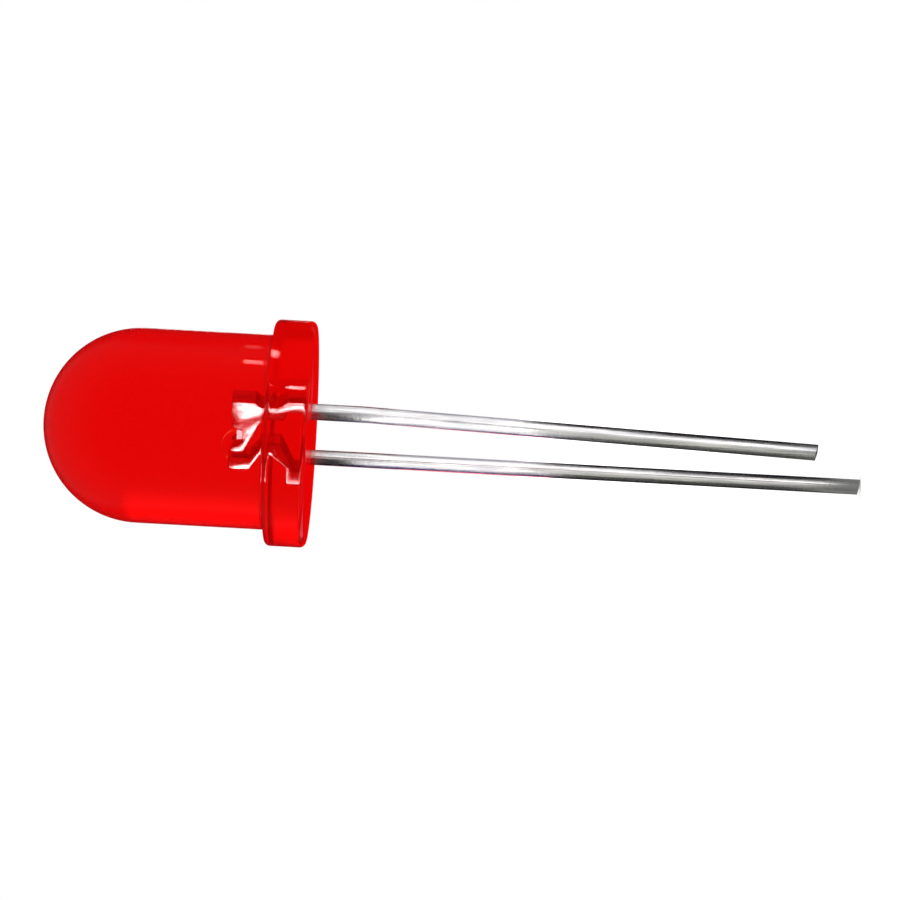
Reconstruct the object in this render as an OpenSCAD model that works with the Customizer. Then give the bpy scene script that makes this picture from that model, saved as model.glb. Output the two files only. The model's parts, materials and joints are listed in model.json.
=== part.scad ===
// Through-hole LED: a round, tinted lens with a flange, cast over a two-lead frame.
//
// All sizes are in millimetres. The origin is the centre of the flange's seating face.
// +Z is the optical axis, towards the dome, and the leads leave towards -Z.
// The cathode, on the side of the flange's flat, is at +X and the anode is at -X.
// The lead frame is a stamped sheet that stands in the XZ plane.

/* [Lens] */
// Diameter of the lens barrel
lens_d = 8; // [6:0.1:10]
// Height from the seating face to the top of the dome
lens_h = 11; // [9.1:0.1:16]
// How far the flange stands out from the barrel
flange_lip = 0.65; // [0.55:0.05:1.2]
// Thickness of the flange
flange_t = 1.7; // [1:0.1:2.5]
// Distance from the barrel out to the plane of the flange's flat
flat_gap = 0.2; // [0.2:0.05:0.5]
// Rounding of the flange's two edges
flange_edge_r = 0.25; // [0.05:0.01:0.35]
// Radius of the fillet between the barrel and the flange
barrel_root_r = 0.15; // [0.05:0.01:0.2]

/* [Leads] */
// Width of a lead, across the face of the sheet
lead_w = 0.5; // [0.4:0.05:0.6]
// Thickness of the sheet that the lead frame is stamped from
sheet_t = 0.5; // [0.4:0.05:0.6]
// Distance between the centres of the leads at the seating face
lead_pitch = 2.54; // [2.1:0.01:3.2]
// Length of the cathode below the seating face
cathode_l = 20.6; // [8:0.1:26]
// Length of the anode below the seating face
anode_l = 22.5; // [8:0.1:30]
// Length over which the cathode is straight below the seating face, before its slight bend
straight_l = 2.2; // [0.5:0.1:6]
// Angle by which the cathode leans towards the anode past the bend, in degrees
cathode_lean = 2.3; // [0:0.1:3]
// Angle of the sheared ends of the leads, in degrees
shear_slant = 14; // [0:1:25]

/* [Anvil and post] */
// Height of the anvil's top, the rim of the reflector cup
anvil_top = 3.2; // [3.1:0.05:4]
// Height of the post's top, where the bond wire lands
post_top = 3.3; // [3.1:0.05:4]
// Width of the anvil's head
head_w = 1.95; // [1.9:0.01:2.1]
// Distance from the optical axis to the middle of the head, towards the cathode
head_shift = 0.45; // [0.4:0.01:0.46]
// Height of the head's straight side, which faces the post
head_h = 0.52; // [0.4:0.01:0.6]
// Diameter of the reflector cup at its rim, where it breaks through both faces of the sheet
cup_rim_d = 0.94; // [0.8:0.01:0.96]
// Diameter of the reflector cup's floor
cup_floor_d = 0.6; // [0.5:0.01:0.66]
// Depth of the reflector cup
cup_depth = 0.48; // [0.4:0.01:0.5]
// Width of the post
post_w = 0.38; // [0.3:0.01:0.5]
// Gap between the anvil's head and the post
post_gap = 0.2; // [0.15:0.01:0.35]

/* [Die and bond] */
// Side of the square die
die_w = 0.32; // [0.2:0.01:0.4]
// Height of the die
die_h = 0.22; // [0.1:0.01:0.25]
// Diameter of the spot of silver-filled epoxy under the die
attach_d = 0.46; // [0.4:0.01:0.48]
// Thickness of that spot
attach_t = 0.03; // [0.02:0.01:0.05]
// Diameter of the gold bond wire
wire_d = 0.035; // [0.025:0.005:0.05]
// Diameter of the wire's ball on the die
ball_d = 0.11; // [0.08:0.01:0.14]
// Height of the wire's ball
ball_h = 0.05; // [0.03:0.01:0.06]
// Height of the wire's loop above the straight line between its ends
loop_h = 0.42; // [0.3:0.01:0.6]

/* [Hidden] */
$fn = 96;
// A cutting body passes the face that it cuts by this much
cut = 1;

lens_r = lens_d / 2;
flange_r = lens_r + flange_lip;
flat_x = lens_r + flat_gap;
dome_z = lens_h - lens_r;
root_r = min(barrel_root_r, flat_gap);

// Centre line of each lead where it crosses the seating face
lead_x = lead_pitch / 2;
// Each lead is drawn this much too long, for its sheared end to cut
tip_spare = 0.4;

// Edges of the anvil's head, on the anode's side and on the cathode's side
head_in_x = head_shift - head_w / 2;
head_out_x = head_shift + head_w / 2;
// The edge of the post that faces the anvil, and its outer edge
post_in_x = head_in_x - post_gap;
post_out_x = post_in_x - post_w;

// Heights at which the cathode's outline turns
foot_z = 0.9;
foot_in_z = 1.06;
foot_out_z = 1.35;
foot_top_z = 1.49;
neck_z = 1.85;
neck_top_z = 2;
head_flare_z = 2.25;
// The foot that locks the cathode in the lens reaches this far in from the lead's centre line
foot_reach = 0.58;
// Edges of the anvil's neck, measured in from the lead's centre line
neck_in = 0.44;
neck_out = 0.05;
// Heights at which the anode's outline turns, where it steps in and out again to lock in the lens
shank_z = 0.62;
step_z = 0.94;
lock_in_low_z = 1.16;
lock_in_high_z = 1.82;
lock_out_low_z = 1.6;
lock_out_high_z = 2;
post_root_z = 2.42;
// Edges of the anode where it has stepped in
lock_in_x = -0.22;
lock_out_x = -0.6;
// The anode's step starts this far in from the lead's centre line
step_reach = 0.28;

cup_floor_z = anvil_top - cup_depth;
die_z = cup_floor_z + attach_t;
die_top_z = die_z + die_h;

// The bond wire runs on an arc from the top of its ball to the middle of the post's top
wire_start = [0, die_top_z + ball_h / 2];
wire_end = [(post_in_x + post_out_x) / 2, post_top];
wire_chord = norm(wire_end - wire_start);
wire_arc_r = (wire_chord * wire_chord / 4 + loop_h * loop_h) / (2 * loop_h);
wire_chord_angle = atan2(wire_end[1] - wire_start[1], wire_end[0] - wire_start[0]);
wire_half_angle = asin(wire_chord / 2 / wire_arc_r);
wire_middle = (wire_start + wire_end) / 2;
// Unit vector from the chord towards the top of the loop
wire_up = [sin(wire_chord_angle), -cos(wire_chord_angle)];
wire_centre = wire_middle - (wire_arc_r - loop_h) * wire_up;
// Direction from the arc's centre to the wire's start, and the angle that it turns to the post
wire_first_angle = wire_chord_angle - 90 - wire_half_angle;
wire_sweep = 2 * wire_half_angle;
// The loop runs on into the post by this angle, and the post trims it
wire_spare_angle = 4;

// Half of the lens's section, with X as the radius and Y as the height
module lens_section() {
    // Flange with rounded edges
    square([flange_r - flange_edge_r, flange_t]);
    translate([0, flange_edge_r])
        square([flange_r, flange_t - 2 * flange_edge_r]);
    for (z = [flange_edge_r, flange_t - flange_edge_r])
        translate([flange_r - flange_edge_r, z])
            circle(r = flange_edge_r);
    // Barrel
    square([lens_r, dome_z]);
    // Fillet between the barrel and the flange
    difference() {
        translate([0, flange_t - root_r])
            square([lens_r + root_r, 2 * root_r]);
        translate([lens_r + root_r, flange_t + root_r])
            circle(r = root_r);
    }
    // Dome
    intersection() {
        translate([0, dome_z])
            circle(r = lens_r);
        translate([0, dome_z])
            square(lens_r + cut);
    }
}

// Lens with its flange and flat, before it is cast round the frame
module lens_blank() {
    difference() {
        rotate_extrude()
            lens_section();
        translate([flat_x, -flange_r - cut, -cut])
            cube([flange_lip + cut, 2 * (flange_r + cut), cut + flange_t + root_r]);
    }
}

module lens() {
    color([0.9, 0.02, 0.02, 0.55])
        difference() {
            lens_blank();
            cathode_shape();
            anode_shape();
            die_attach_shape();
            die_shape();
            bond_wire_shape();
        }
}

// A piece stamped from the sheet, with its outline given as [x, z] points
module stamping(outline) {
    translate([0, sheet_t / 2, 0])
        rotate([90, 0, 0])
            linear_extrude(height = sheet_t)
                polygon(outline);
}

// Cuts a lead's end at the shear angle, which is square across the sheet's face
module sheared_end(tip_x, tip_z) {
    translate([tip_x, -sheet_t / 2, tip_z])
        rotate([-shear_slant, 0, 0])
            translate([-lead_w - cut, -cut, -2 * cut])
                cube([2 * (lead_w + cut), 2 * cut + sheet_t, 2 * cut]);
}

// The points of the cathode's bend and tip, on its centre line
bend_point = [lead_x, -straight_l];
lean_dir = [-sin(cathode_lean), -cos(cathode_lean)];
lean_side = [cos(cathode_lean), -sin(cathode_lean)];
cathode_tip = bend_point + (cathode_l - straight_l) / cos(cathode_lean) * lean_dir;
// Half of the mitre across the bend
mitre = lead_w / 2 / cos(cathode_lean / 2)
    * [cos(cathode_lean / 2), -sin(cathode_lean / 2)];

module cathode_shape() {
    difference() {
        stamping([
            cathode_tip + tip_spare * lean_dir - lead_w / 2 * lean_side,
            cathode_tip + tip_spare * lean_dir + lead_w / 2 * lean_side,
            bend_point + mitre,
            [lead_x + lead_w / 2, foot_z],
            [lead_x - neck_out, foot_out_z],
            [lead_x - neck_out, neck_top_z],
            [head_out_x, head_flare_z],
            [head_out_x, anvil_top],
            [head_in_x, anvil_top],
            [head_in_x, anvil_top - head_h],
            [lead_x - neck_in, neck_z],
            [lead_x - foot_reach, foot_top_z],
            [lead_x - foot_reach, foot_in_z],
            [lead_x - lead_w / 2, foot_z],
            bend_point - mitre
        ]);
        // Reflector cup
        translate([0, 0, cup_floor_z])
            cylinder(h = cup_depth, d1 = cup_floor_d, d2 = cup_rim_d);
        sheared_end(cathode_tip[0], cathode_tip[1]);
    }
}

module cathode_lead() {
    color("silver")
        cathode_shape();
}

module anode_shape() {
    difference() {
        stamping([
            [-lead_x - lead_w / 2, -anode_l - tip_spare],
            [-lead_x + lead_w / 2, -anode_l - tip_spare],
            [-lead_x + lead_w / 2, shank_z],
            [lock_in_x, lock_in_low_z],
            [lock_in_x, lock_in_high_z],
            [post_in_x, post_root_z],
            [post_in_x, post_top],
            [post_out_x, post_top],
            [post_out_x, post_root_z],
            [lock_out_x, lock_out_high_z],
            [lock_out_x, lock_out_low_z],
            [-lead_x + step_reach, step_z],
            [-lead_x - lead_w / 2, step_z]
        ]);
        sheared_end(-lead_x, -anode_l);
    }
}

module anode_lead() {
    color("silver")
        anode_shape();
}

module die_shape() {
    translate([-die_w / 2, -die_w / 2, die_z])
        cube([die_w, die_w, die_h]);
}

module die() {
    color([0.75, 0.55, 0.2])
        die_shape();
}

module die_attach_shape() {
    translate([0, 0, cup_floor_z])
        cylinder(h = attach_t, d = attach_d);
}

module die_attach() {
    color([0.7, 0.7, 0.7])
        die_attach_shape();
}

module bond_wire_shape() {
    // Ball on the die
    translate([0, 0, die_top_z])
        cylinder(h = ball_h, d = ball_d);
    // Loop, which lands on the post's top
    difference() {
        translate([wire_centre[0], 0, wire_centre[1]])
            rotate([90, 0, 0])
                rotate([0, 0, wire_first_angle])
                    rotate_extrude(angle = wire_sweep + wire_spare_angle)
                        translate([wire_arc_r, 0])
                            circle(d = wire_d);
        anode_shape();
    }
}

module bond_wire() {
    color("gold")
        bond_wire_shape();
}

lens();
cathode_lead();
anode_lead();
die();
die_attach();
bond_wire();
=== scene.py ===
"""A red 8 mm through-hole LED: a tinted epoxy lens, cast over a plated lead frame.

Lengths are in metres unless a name ends in mm. The frame's origin is the centre of the flange's
seating face, +Z runs along the optical axis to the dome, and the leads leave towards -Z.
"""

import json
import math

import bmesh
import bpy
from mathutils import Matrix, Vector


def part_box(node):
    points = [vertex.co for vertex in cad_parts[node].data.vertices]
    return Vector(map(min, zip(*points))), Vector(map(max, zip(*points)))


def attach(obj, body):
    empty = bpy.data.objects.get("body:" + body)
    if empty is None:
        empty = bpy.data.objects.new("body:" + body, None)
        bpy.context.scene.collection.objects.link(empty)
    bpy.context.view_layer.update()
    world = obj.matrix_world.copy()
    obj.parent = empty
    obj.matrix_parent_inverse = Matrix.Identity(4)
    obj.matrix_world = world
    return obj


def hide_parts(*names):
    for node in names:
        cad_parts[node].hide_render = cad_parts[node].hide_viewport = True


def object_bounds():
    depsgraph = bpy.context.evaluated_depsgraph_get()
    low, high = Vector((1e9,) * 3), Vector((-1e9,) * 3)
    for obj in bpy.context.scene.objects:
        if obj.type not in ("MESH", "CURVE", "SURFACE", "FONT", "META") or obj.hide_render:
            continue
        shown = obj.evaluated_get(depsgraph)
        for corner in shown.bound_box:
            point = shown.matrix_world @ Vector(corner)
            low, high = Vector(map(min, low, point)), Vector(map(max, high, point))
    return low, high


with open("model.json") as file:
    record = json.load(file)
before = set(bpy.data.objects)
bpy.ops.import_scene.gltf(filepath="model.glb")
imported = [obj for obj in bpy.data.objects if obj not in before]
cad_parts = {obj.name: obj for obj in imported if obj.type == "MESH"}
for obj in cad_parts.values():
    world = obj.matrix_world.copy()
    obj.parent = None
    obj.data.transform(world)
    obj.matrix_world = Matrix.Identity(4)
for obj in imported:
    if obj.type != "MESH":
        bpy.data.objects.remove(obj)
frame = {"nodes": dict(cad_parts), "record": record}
cad_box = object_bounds()

MM = 0.001

# The camera looks across the optical axis and lies on its side, so the dome is at the left and the
# cathode is the upper lead. From square on to the lead frame it is turned this far towards the
# cathode's side, lowered this far towards the leads, and rolled.
VIEW_TURN = math.radians(43)
VIEW_DIP = math.radians(0.6)
VIEW_ROLL = math.radians(3.13)
VIEW_DISTANCE = 160 * MM
VIEW_WIDTH = 36.9 * MM
# Where the middle of the view lies, along the leads and up from the axis
VIEW_SHIFT_ALONG = 5.67 * MM
VIEW_SHIFT_UP = -0.63 * MM

# The view's own directions, square to the axis: up in the view, and out towards the viewer
UP = Vector((math.cos(VIEW_TURN), math.sin(VIEW_TURN), 0))
OUT = Vector((math.sin(VIEW_TURN), -math.cos(VIEW_TURN), 0))
AXIS = Vector((0, 0, 1))


def linear(code):
    """An sRGB hex colour as linear RGBA."""
    values = [int(code[i : i + 2], 16) / 255 for i in (1, 3, 5)]
    return (
        *(v / 12.92 if v <= 0.04045 else ((v + 0.055) / 1.055) ** 2.4 for v in values),
        1,
    )


def add(tree, kind, inputs=(), **settings):
    """Adds a node. An input is a value, a socket, or a node that stands for its first live output."""
    node = tree.nodes.new(kind)
    for name, value in settings.items():
        setattr(node, name, value)
    for key, value in dict(inputs).items():
        if isinstance(value, bpy.types.Node):
            value = next(o for o in value.outputs if o.enabled)
        if isinstance(value, bpy.types.NodeSocket):
            tree.links.new(value, node.inputs[key])
        else:
            node.inputs[key].default_value = value
    return node


def material(name):
    """A new material with an empty tree, its tree and its output node."""
    made = bpy.data.materials.new(name)
    made.use_nodes = True
    made.node_tree.nodes.clear()
    return made, made.node_tree, add(made.node_tree, "ShaderNodeOutputMaterial")


def new_object(name, data):
    """Links a new object that holds this mesh or camera."""
    thing = bpy.data.objects.new(name, data)
    bpy.context.scene.collection.objects.link(thing)
    return thing


# ---------------------------------------------------------------- materials


def tinted_epoxy():
    """Clear epoxy with red dye, cast in a polished mould: deep red right through, with a wet gloss
    that is broken by faint mould waves. A little haze stands for light that the resin scatters."""
    made, tree, out = material("Red tinted cast epoxy")
    wave = 1.4 * MM
    line = 0.35 * MM
    line_length = 4 * MM
    place = add(tree, "ShaderNodeTexCoord").outputs["Object"]
    waves = add(tree, "ShaderNodeTexNoise", {"Vector": place, "Scale": 1 / wave, "Detail": 2})
    drawn = add(
        tree,
        "ShaderNodeMapping",
        {"Vector": place, "Scale": (1 / line, 1 / line, 1 / line_length)},
    )
    lines = add(tree, "ShaderNodeTexNoise", {"Vector": drawn, "Scale": 1, "Detail": 3})
    broad = add(tree, "ShaderNodeBump", {"Height": waves, "Strength": 0.35, "Distance": 0.012 * MM})
    fine = add(
        tree,
        "ShaderNodeBump",
        {"Height": lines, "Normal": broad, "Strength": 0.25, "Distance": 0.004 * MM},
    )
    rough = add(
        tree,
        "ShaderNodeMapRange",
        {"Value": lines, "From Min": 0.3, "From Max": 0.7, "To Min": 0.02, "To Max": 0.07},
    )
    surface = add(
        tree,
        "ShaderNodeBsdfPrincipled",
        {
            "Base Color": linear("#FF2828"),
            "Transmission Weight": 1.0,
            "IOR": 1.54,
            "Roughness": rough,
            "Specular Tint": linear("#FF3838"),
            "Normal": fine,
        },
    )
    dye = add(tree, "ShaderNodeVolumeAbsorption", {"Color": linear("#F90000"), "Density": 300})
    haze = add(tree, "ShaderNodeBsdfDiffuse", {"Color": linear("#FF0000"), "Normal": fine})
    # The flat comes from a rougher core and the seat sets in the open, so both faces are matt
    polished_haze = 0.2
    flat_haze = 0.7
    seat_haze = 0.8
    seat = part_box("lens")[0].z
    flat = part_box("lens")[1].x
    spot = add(tree, "ShaderNodeSeparateXYZ", {0: place}).outputs
    flat_matt = add(
        tree,
        "ShaderNodeMapRange",
        {
            "Value": spot["X"],
            "From Min": flat - 0.1 * MM,
            "From Max": flat - 0.02 * MM,
            "To Min": polished_haze,
            "To Max": flat_haze,
        },
    )
    seat_matt = add(
        tree,
        "ShaderNodeMapRange",
        {
            "Value": spot["Z"],
            "From Min": seat + 0.06 * MM,
            "From Max": seat + 0.01 * MM,
            "To Min": polished_haze,
            "To Max": seat_haze,
        },
    )
    matt = add(tree, "ShaderNodeMath", {0: flat_matt, 1: seat_matt}, operation="MAXIMUM")
    skin = add(tree, "ShaderNodeMixShader", {0: matt, 1: surface, 2: haze})
    tree.links.new(skin.outputs[0], out.inputs["Surface"])
    tree.links.new(dye.outputs[0], out.inputs["Volume"])
    return made


def plated_metal(name, colour, dull_colour, smooth, dull, ripple_mm, patch_mm, edge):
    """Stamped steel strip with a plated skin: bright and slightly uneven, with fine lines along the
    drawing direction and duller, longer patches where the skin is thicker. A patch has its size in
    each direction, and edge is how softly it ends."""
    made, tree, out = material(name)
    # Real drawing lines are finer, and are drawn as coarse as they need to be to show
    line = 0.07 * MM
    line_length = 3 * MM
    unevenness = 0.25 * MM
    place = add(tree, "ShaderNodeTexCoord").outputs["Object"]
    drawn = add(
        tree,
        "ShaderNodeMapping",
        {"Vector": place, "Scale": (1 / line, 1 / line, 1 / line_length)},
    )
    lines = add(
        tree, "ShaderNodeTexNoise", {"Vector": drawn, "Scale": 1, "Detail": 3, "Roughness": 0.6}
    )
    long = add(
        tree,
        "ShaderNodeMapping",
        {"Vector": place, "Scale": tuple(1 / (size * MM) for size in patch_mm)},
    )
    patches = add(tree, "ShaderNodeTexNoise", {"Vector": long, "Scale": 1, "Detail": 3})
    uneven = add(
        tree, "ShaderNodeTexNoise", {"Vector": place, "Scale": 1 / unevenness, "Detail": 2}
    )
    patch = add(
        tree,
        "ShaderNodeMapRange",
        {"Value": patches, "From Min": 0.5 - edge, "From Max": 0.5 + edge},
    )
    tone = add(
        tree,
        "ShaderNodeMix",
        {"Factor": patch, "A": linear(colour), "B": linear(dull_colour)},
        data_type="RGBA",
    )
    rough = add(tree, "ShaderNodeMapRange", {"Value": patch, "To Min": smooth, "To Max": dull})
    ripple = add(
        tree,
        "ShaderNodeBump",
        {"Height": uneven, "Strength": 1.0, "Distance": ripple_mm * MM},
    )
    bump = add(
        tree,
        "ShaderNodeBump",
        {"Height": lines, "Normal": ripple, "Strength": 0.5, "Distance": 0.008 * MM},
    )
    surface = add(
        tree,
        "ShaderNodeBsdfPrincipled",
        {"Base Color": tone.outputs[2], "Metallic": 1.0, "Roughness": rough, "Normal": bump},
    )
    tree.links.new(surface.outputs[0], out.inputs["Surface"])
    return made


def fine_grained(name, colour, second, grain_mm, metallic, smooth, dull):
    """A small part's finish: two tones and a roughness that follow one fine grain. The real grain is
    finer, and is drawn as coarse as it needs to be to show."""
    made, tree, out = material(name)
    place = add(tree, "ShaderNodeTexCoord").outputs["Object"]
    grain = add(
        tree, "ShaderNodeTexNoise", {"Vector": place, "Scale": 1 / (grain_mm * MM), "Detail": 3}
    )
    tone = add(
        tree,
        "ShaderNodeMix",
        {"Factor": grain, "A": linear(colour), "B": linear(second)},
        data_type="RGBA",
    )
    rough = add(tree, "ShaderNodeMapRange", {"Value": grain, "To Min": smooth, "To Max": dull})
    bump = add(
        tree,
        "ShaderNodeBump",
        {"Height": grain, "Strength": 0.4, "Distance": grain_mm * 0.1 * MM},
    )
    surface = add(
        tree,
        "ShaderNodeBsdfPrincipled",
        {"Base Color": tone.outputs[2], "Metallic": metallic, "Roughness": rough, "Normal": bump},
    )
    tree.links.new(surface.outputs[0], out.inputs["Surface"])
    return made


# ---------------------------------------------------------------- lens


def turning_tree():
    """Rounds a drawn section's corners, turns it about Z and presses a flat into what stands past it."""
    tree = bpy.data.node_groups.new("Turned casting", "GeometryNodeTree")
    sockets = tree.interface
    sockets.new_socket("Section", in_out="INPUT", socket_type="NodeSocketGeometry")
    sockets.new_socket("Steps Around", in_out="INPUT", socket_type="NodeSocketInt")
    sockets.new_socket("Flat Distance", in_out="INPUT", socket_type="NodeSocketFloat")
    sockets.new_socket("Flat Edge", in_out="INPUT", socket_type="NodeSocketFloat")
    sockets.new_socket("Material", in_out="INPUT", socket_type="NodeSocketMaterial")
    sockets.new_socket("Casting", in_out="OUTPUT", socket_type="NodeSocketGeometry")
    given = add(tree, "NodeGroupInput").outputs

    radius = add(
        tree, "GeometryNodeInputNamedAttribute", {"Name": "corner_radius"}, data_type="FLOAT"
    )
    steps = add(tree, "GeometryNodeInputNamedAttribute", {"Name": "corner_steps"}, data_type="INT")
    section = add(tree, "GeometryNodeMeshToCurve", {"Mesh": given["Section"]})
    rounded = add(
        tree,
        "GeometryNodeFilletCurve",
        {"Curve": section, "Count": steps, "Radius": radius, "Limit Radius": True},
        mode="POLY",
    )
    rows = add(
        tree, "GeometryNodeAttributeDomainSize", {"Geometry": rounded}, component="CURVE"
    ).outputs["Point Count"]
    columns = add(
        tree, "FunctionNodeIntegerMath", {0: given["Steps Around"], 1: 1}, operation="ADD"
    )
    grid = add(tree, "GeometryNodeMeshGrid", {"Vertices X": rows, "Vertices Y": columns})

    # Each row of the grid becomes one point of the section, and each column one step of the turn
    index = add(tree, "GeometryNodeInputIndex")
    row = add(tree, "FunctionNodeIntegerMath", {0: index, 1: columns}, operation="DIVIDE")
    column = add(tree, "FunctionNodeIntegerMath", {0: index, 1: columns}, operation="MODULO")
    turned = add(
        tree, "ShaderNodeMath", {0: column, 1: given["Steps Around"]}, operation="DIVIDE"
    )
    angle = add(tree, "ShaderNodeMath", {0: turned, 1: math.tau}, operation="MULTIPLY")
    cosine = add(tree, "ShaderNodeMath", {0: angle}, operation="COSINE")
    sine = add(tree, "ShaderNodeMath", {0: angle}, operation="SINE")
    drawn = add(
        tree,
        "GeometryNodeSampleIndex",
        {"Geometry": rounded, "Value": add(tree, "GeometryNodeInputPosition"), "Index": row},
        data_type="FLOAT_VECTOR",
    )
    place = add(tree, "ShaderNodeSeparateXYZ", {0: drawn}).outputs

    # The flat's plane crosses each direction at its distance over the cosine, and never behind
    ahead = add(tree, "ShaderNodeMath", {0: cosine, 1: 0.1}, operation="MAXIMUM")
    limit = add(
        tree, "ShaderNodeMath", {0: given["Flat Distance"], 1: ahead}, operation="DIVIDE"
    )
    reach = add(
        tree,
        "ShaderNodeMath",
        {0: place["X"], 1: limit, 2: given["Flat Edge"]},
        operation="SMOOTH_MIN",
    )
    x = add(tree, "ShaderNodeMath", {0: reach, 1: cosine}, operation="MULTIPLY")
    y = add(tree, "ShaderNodeMath", {0: reach, 1: sine}, operation="MULTIPLY")
    point = add(tree, "ShaderNodeCombineXYZ", {"X": x, "Y": y, "Z": place["Z"]})
    skin = add(tree, "GeometryNodeSetPosition", {"Geometry": grid, "Position": point})
    closed = add(
        tree, "GeometryNodeMergeByDistance", {"Geometry": skin, "Distance": 0.0005 * MM}
    )
    outward = add(tree, "GeometryNodeFlipFaces", {"Mesh": closed})
    smooth = add(tree, "GeometryNodeSetShadeSmooth", {"Geometry": outward}, domain="FACE")
    real = add(tree, "GeometryNodeRealizeInstances", {"Geometry": smooth})
    painted = add(
        tree, "GeometryNodeSetMaterial", {"Geometry": real, "Material": given["Material"]}
    )
    add(tree, "NodeGroupOutput", {0: painted})
    return tree


def run_tree(thing, tree, values):
    """Gives an object its finished mesh: the tree's result with these values for its named inputs."""
    modifier = thing.modifiers.new("Tree", "NODES")
    modifier.node_group = tree
    for item in tree.interface.items_tree:
        if item.in_out == "INPUT" and item.name in values:
            modifier[item.identifier] = values[item.name]
    view = bpy.context.evaluated_depsgraph_get()
    made = bpy.data.meshes.new_from_object(thing.evaluated_get(view))
    thing.modifiers.clear()
    thing.data = made
    return thing


def held_straight(corners):
    """The corners, with a point just inside each end of a straight run that keeps smooth shading
    from bending it."""
    inset = 0.03 * MM
    shortest = 0.1 * MM
    held = [corners[0]]
    for (r, z, round_a, _), (end_r, end_z, round_b, steps_b) in zip(corners, corners[1:]):
        length = math.hypot(end_r - r, end_z - z)
        if length - round_a - round_b > shortest:
            for along in (round_a + inset, length - round_b - inset):
                share = along / length
                held.append((r + (end_r - r) * share, z + (end_z - z) * share, 0, 1))
        held.append((end_r, end_z, round_b, steps_b))
    return held


def cast_lens(epoxy):
    """The lens as one casting, drawn as half a section and turned."""
    low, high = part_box("lens")
    mounts = {m["name"]: m for m in frame["record"]["mounts"]}
    barrel_r = mounts["lens_barrel"]["dims"]["r_mm"] * MM
    flange_t = mounts["panel_stop"]["pos_m"][2]
    flange_r = high.y
    edge_r = 0.25 * MM
    fillet_r = 0.15 * MM
    # Each corner of the section: radius, height, rounding and the rounding's steps
    corners = held_straight(
        [
            (0, low.z, 0, 1),
            (flange_r, low.z, edge_r, 10),
            (flange_r, flange_t, edge_r, 10),
            (barrel_r, flange_t, fillet_r, 8),
            (barrel_r, high.z, barrel_r, 72),
            (0, high.z, 0, 1),
        ]
    )
    mesh = bpy.data.meshes.new("lens_section")
    mesh.from_pydata(
        [(r, 0, z) for r, z, _, _ in corners], [(i, i + 1) for i in range(len(corners) - 1)], []
    )
    rounding = mesh.attributes.new("corner_radius", "FLOAT", "POINT")
    rounding.data.foreach_set("value", [c[2] for c in corners])
    steps = mesh.attributes.new("corner_steps", "INT", "POINT")
    steps.data.foreach_set("value", [c[3] for c in corners])
    lens = run_tree(
        new_object("cast_lens", mesh),
        turning_tree(),
        {
            "Steps Around": 288,
            "Flat Distance": high.x,
            "Flat Edge": 0.06 * MM,
            "Material": epoxy,
        },
    )
    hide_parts("lens")
    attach(lens, "root")
    return lens


# ---------------------------------------------------------------- leads


def finished_lead(node, name, outside, inside):
    """A lead with its stamped edges rounded, tinned below the seat and silvered above it."""
    weld = 0.001 * MM
    level = math.radians(0.5)
    sharp = math.radians(25)
    # How much of the rounding the edges inside the lens get
    inside_share = 0.45
    # Only the edges of the sheared tips lie wholly below this, and they stay sharp
    above_tips = -15 * MM

    mesh = frame["nodes"][node].data.copy()
    work = bmesh.new()
    work.from_mesh(mesh)
    bmesh.ops.remove_doubles(work, verts=work.verts, dist=weld)
    bmesh.ops.dissolve_limit(work, angle_limit=level, verts=work.verts, edges=work.edges)
    parts = work.verts[:] + work.edges[:] + work.faces[:]
    bmesh.ops.bisect_plane(work, geom=parts, plane_co=(0, 0, 0), plane_no=(0, 0, 1), dist=1e-9)
    for face in work.faces:
        face.material_index = 0 if face.calc_center_median().z < 0 else 1
        face.smooth = True
    weights = work.edges.layers.float.new("bevel_weight_edge")
    for edge in work.edges:
        if len(edge.link_faces) == 2 and edge.calc_face_angle() > sharp:
            low_end = min(v.co.z for v in edge.verts)
            high_end = max(v.co.z for v in edge.verts)
            edge[weights] = inside_share if low_end >= 0 else 1.0
            if high_end < above_tips:
                edge[weights] = 0
                edge.smooth = False
    work.to_mesh(mesh)
    work.free()
    mesh.materials.clear()
    mesh.materials.append(outside)
    mesh.materials.append(inside)
    lead = new_object(name, mesh)
    bevel = lead.modifiers.new("Rounded edges", "BEVEL")
    bevel.width = 0.12 * MM
    bevel.segments = 3
    bevel.limit_method = "WEIGHT"
    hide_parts(node)
    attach(lead, "root")
    return lead


# ---------------------------------------------------------------- studio


def along_view(up_mm, out_mm, axis_mm):
    """A place in the studio: up in the view, out to the viewer and along the axis."""
    return (UP * up_mm + OUT * out_mm + AXIS * axis_mm) * MM


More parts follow.
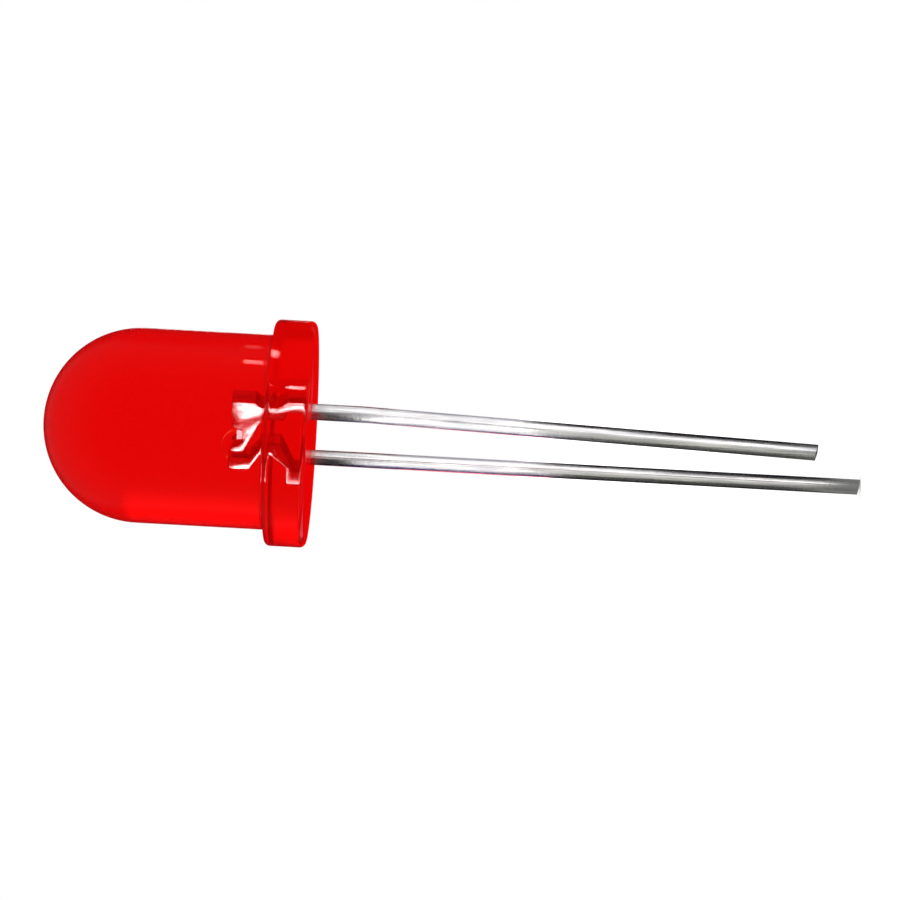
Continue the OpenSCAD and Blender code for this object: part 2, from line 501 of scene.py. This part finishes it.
def card(name, centre_mm, target_mm, size_mm, colour, strength=1.0, seen_by="glossy", soft=0.0):
    """A card beside the object for one kind of ray, as black and white cards stand round metal. It
    faces its target, and its second side runs along the axis. A soft one fades towards its edges."""
    made, tree, out = material(name)
    half_w, half_h = size_mm[0] * MM / 2, size_mm[1] * MM / 2
    place = add(tree, "ShaderNodeTexCoord").outputs["Object"]
    spread = add(
        tree, "ShaderNodeMapping", {"Vector": place, "Scale": (1 / half_w, 1 / half_h, 1)}
    )
    reach = add(tree, "ShaderNodeVectorMath", {0: spread}, operation="LENGTH").outputs["Value"]
    fade = add(
        tree,
        "ShaderNodeMapRange",
        {"Value": reach, "From Min": 1.0 - soft, "From Max": 1.0},
        interpolation_type="SMOOTHSTEP",
    )
    glow = add(tree, "ShaderNodeEmission", {"Color": linear(colour), "Strength": strength})
    clear = add(tree, "ShaderNodeBsdfTransparent")
    faded = add(tree, "ShaderNodeMixShader", {0: fade, 1: glow, 2: clear})
    tree.links.new((faded if soft else glow).outputs[0], out.inputs["Surface"])
    mesh = bpy.data.meshes.new(name)
    mesh.from_pydata(
        [(-half_w, -half_h, 0), (half_w, -half_h, 0), (half_w, half_h, 0), (-half_w, half_h, 0)],
        [],
        [(0, 1, 2, 3)],
    )
    mesh.materials.append(made)
    thing = new_object(name, mesh)
    centre = along_view(*centre_mm)
    back = (centre - along_view(*target_mm)).normalized()
    along = (AXIS - back * AXIS.dot(back)).normalized()
    across = along.cross(back)
    turn = Matrix((across, along, back)).transposed().to_4x4()
    thing.matrix_world = Matrix.Translation(centre) @ turn
    made.cycles.emission_sampling = "NONE"
    thing.visible_camera = False
    thing.visible_diffuse = False
    thing.visible_glossy = seen_by == "glossy"
    thing.visible_transmission = seen_by == "transmission"
    thing.visible_shadow = False
    return thing


def white_backdrop():
    """The world, which lights the object softly from all round. The camera and the glass see it
    white, and gloss sees a plain studio that is lighter on the viewer's side."""
    world = bpy.data.worlds.new("Studio")
    bpy.context.scene.world = world
    world.use_nodes = True
    tree = world.node_tree
    tree.nodes.clear()
    rays = add(tree, "ShaderNodeLightPath").outputs
    direction = add(tree, "ShaderNodeTexCoord").outputs["Generated"]
    front = add(
        tree, "ShaderNodeVectorMath", {0: direction, 1: OUT}, operation="DOT_PRODUCT"
    ).outputs["Value"]
    shade = add(
        tree,
        "ShaderNodeMapRange",
        {"Value": front, "From Min": -0.6, "From Max": 0.9},
        interpolation_type="SMOOTHSTEP",
    )
    room = add(
        tree,
        "ShaderNodeMix",
        {"Factor": shade, "A": linear("#5C5A5C"), "B": linear("#B4B2B0")},
        data_type="RGBA",
    ).outputs[2]
    studio_light = add(
        tree,
        "ShaderNodeMix",
        {"Factor": rays["Is Glossy Ray"], "A": linear("#EEEEEE"), "B": room},
        data_type="RGBA",
    ).outputs[2]
    seen = add(
        tree,
        "ShaderNodeMath",
        {0: rays["Is Camera Ray"], 1: rays["Is Transmission Ray"]},
        operation="MAXIMUM",
    )
    colour = add(
        tree,
        "ShaderNodeMix",
        {"Factor": seen, "A": studio_light, "B": linear("#FFFFFF")},
        data_type="RGBA",
    ).outputs[2]
    back = add(tree, "ShaderNodeBackground", {"Color": colour, "Strength": 1.0})
    add(tree, "ShaderNodeOutputWorld", {"Surface": back})


def pale_floor(height):
    """A plain floor that the longer lead just touches. The camera sees it white apart from the
    object's shadow, the glass sees it white, and gloss sees it grey."""
    made, tree, out = material("White paper sweep")
    half = 1.5
    rays = add(tree, "ShaderNodeLightPath").outputs
    place = add(tree, "ShaderNodeTexCoord").outputs["Object"]
    distance = add(tree, "ShaderNodeVectorMath", {0: place}, operation="LENGTH").outputs["Value"]
    far = add(
        tree,
        "ShaderNodeMapRange",
        {
            "Value": distance,
            "From Min": 30 * MM,
            "From Max": 140 * MM,
            "To Min": 0.35,
            "To Max": 1.0,
        },
        interpolation_type="SMOOTHSTEP",
    )
    paper = add(tree, "ShaderNodeBsdfDiffuse", {"Color": linear("#F2F2F2")})
    lift = add(tree, "ShaderNodeMath", {0: rays["Is Camera Ray"], 1: far}, operation="MULTIPLY")
    glow = add(tree, "ShaderNodeEmission", {"Color": linear("#FFFFFF"), "Strength": lift})
    lit = add(tree, "ShaderNodeAddShader", {0: paper, 1: glow})
    grey = add(tree, "ShaderNodeEmission", {"Color": linear("#8A8C88"), "Strength": 1.0})
    plain = add(tree, "ShaderNodeEmission", {"Color": linear("#FFFFFF"), "Strength": 1.0})
    mirrored = add(tree, "ShaderNodeMixShader", {0: rays["Is Glossy Ray"], 1: lit, 2: grey})
    shown = add(
        tree, "ShaderNodeMixShader", {0: rays["Is Transmission Ray"], 1: mirrored, 2: plain}
    )
    tree.links.new(shown.outputs[0], out.inputs["Surface"])
    mesh = bpy.data.meshes.new("floor")
    mesh.from_pydata(
        [(-half, -half, height), (half, -half, height), (half, half, height), (-half, half, height)],
        [],
        [(0, 1, 2, 3)],
    )
    mesh.materials.append(made)
    new_object("floor", mesh)


def studio():
    """The backdrop, the floor and the cards. Each card's centre and target are up, out and along the
    axis, in millimetres."""
    white_backdrop()
    pale_floor(cad_box[0].z)
    # Shines through the lens from behind and above, so its lower side glows
    card("Back glow", (190, -150, 18), (0, 0, 5), (240, 84), "#FFFFFF", 1.6, "transmission", 0.8)
    # Stands for light scattered in the resin: it reaches the lead frame from below, and its cyan
    # leaves the red resin as a neutral colour
    card("Frame light", (-100, 0, 10), (0, 0, 2), (30, 60), "#12FFFF", 2400, "transmission", 0.4)
    # Small ones make the thin streaks on the barrel and the dot on the flat
    card("Streak", (32.8, 3.2, 4.27), (3, 3, 2.4), (3.4, 1.0), "#FFFFFF", 18)
    card("Faint streak", (29.8, -12.1, 4.31), (3, 2, 2.4), (4, 0.65), "#FFFFFF", 0.9)
    card("Dot", (15.07, 1.66, 2.23), (3, 2.7, 1.5), (0.24, 0.24), "#FFFFFF", 110)
    # Red ones: the seat and the edges of the lens mirror them, and so stay red
    card("Red card behind the seat", (0, -40, -11.5), (0, 0, -11.5), (60, 25), "#FF1010", 1.3)
    card("Pink card under the rim", (-12, -5.5, -7.8), (-12, 0, -7.8), (9, 9), "#FF7474", 4)
    card("Dull red card behind", (0, -80, 16), (0, 0, 16), (560, 140), "#7A1C20", 1, "glossy", 0.6)
    # Bright and dark ones along the leads
    card("White card above", (30, 5, -7.5), (0, 5, -7.5), (24, 17), "#FFFFFF", 1.7)
    card("Pale card above", (12, 3.4, -21), (0, 3.4, -21), (8.6, 20), "#FFFFFF", 2.0, "glossy", 0.4)
    card("Black card below", (-12, 1, -0.55), (0, 1, -0.55), (18, 1.8), "#06060A")
    card("White card below", (-30, 11.5, -5.4), (0, 11.5, -5.4), (27, 8.8), "#FFFFFF", 2.0)
    card("Violet card below", (-29.9, -6.5, -5.6), (0, -6.5, -5.6), (12, 9.8), "#30327C")
    card("Light card below", (-20, 9.2, -16.2), (0, 9.2, -16.2), (13.5, 12.2), "#E0E2DA")
    card("Dark card below", (-26, 0, -16.3), (0, 0, -16.3), (30, 12.2), "#4E504C")
    card("White card in front", (0, 40, -5.9), (0, 0, -5.9), (60, 7.8), "#FFFFFF", 1.8)
    card("Pale card in front", (0, 14, -16.2), (0, 0, -16.2), (40, 12.2), "#E8E8E4", 1.3)
    card("Pale card behind", (20, -6, -6.5), (20, 0, -6.5), (38, 6.4), "#C8C6D0")
    card("Violet card behind", (-20, -6, -6.5), (-20, 0, -6.5), (38, 6.4), "#4A4690")
    card("Dark card behind", (0, -4, -16.1), (0, 0, -16.1), (80, 12.4), "#1C1822")


def camera():
    """Stands at the viewing angle and lies on its side, so that the leads run to the right."""
    toward = OUT * math.cos(VIEW_DIP) - AXIS * math.sin(VIEW_DIP)
    level = -AXIS * math.cos(VIEW_DIP) - OUT * math.sin(VIEW_DIP)
    right = level * math.cos(VIEW_ROLL) + UP * math.sin(VIEW_ROLL)
    up = UP * math.cos(VIEW_ROLL) - level * math.sin(VIEW_ROLL)
    data = bpy.data.cameras.new("Camera")
    data.sensor_width = 36
    data.lens = data.sensor_width * VIEW_DISTANCE / VIEW_WIDTH
    data.clip_start = 5 * MM
    data.clip_end = 10
    thing = new_object("Camera", data)
    turn = Matrix((right, up, toward)).transposed().to_4x4()
    spot = right * VIEW_SHIFT_ALONG + up * VIEW_SHIFT_UP + toward * VIEW_DISTANCE
    thing.matrix_world = Matrix.Translation(spot) @ turn
    bpy.context.scene.camera = thing


# ---------------------------------------------------------------- assembly


def dress(node, finish):
    """Gives a CAD node that stays its finish."""
    for place in frame["nodes"][node].material_slots:
        place.material = finish


def build():
    """Makes every piece, in the order of the real thing's assembly."""
    tin = plated_metal(
        "Tin-plated steel",
        "#DEDBDA",
        "#B4B3B6",
        smooth=0.1,
        dull=0.24,
        ripple_mm=0.002,
        patch_mm=(0.22, 0.22, 2.5),
        edge=0.2,
    )
    silver = plated_metal(
        "Silver-plated steel",
        "#FFFCFC",
        "#7A6E6E",
        smooth=0.14,
        dull=0.26,
        ripple_mm=0.02,
        patch_mm=(0.24, 0.24, 0.4),
        edge=0.06,
    )
    paste = fine_grained(
        "Silver-filled epoxy",
        "#A9A7A3",
        "#D2D0CC",
        grain_mm=0.03,
        metallic=0.6,
        smooth=0.35,
        dull=0.6,
    )
    crystal = fine_grained(
        "Sawn gallium arsenide phosphide",
        "#E8E0E8",
        "#FFFFFF",
        grain_mm=0.04,
        metallic=0.5,
        smooth=0.2,
        dull=0.4,
    )
    gold = fine_grained(
        "Drawn gold wire",
        "#E3B04E",
        "#F4CE7C",
        grain_mm=0.02,
        metallic=1.0,
        smooth=0.15,
        dull=0.3,
    )
    finished_lead("cathode_lead", "cathode", tin, silver)
    finished_lead("anode_lead", "anode", tin, silver)
    dress("die_attach", paste)
    dress("die", crystal)
    dress("bond_wire", gold)
    cast_lens(tinted_epoxy())


bpy.context.scene.view_settings.view_transform = "Standard"
camera()
studio()
build()
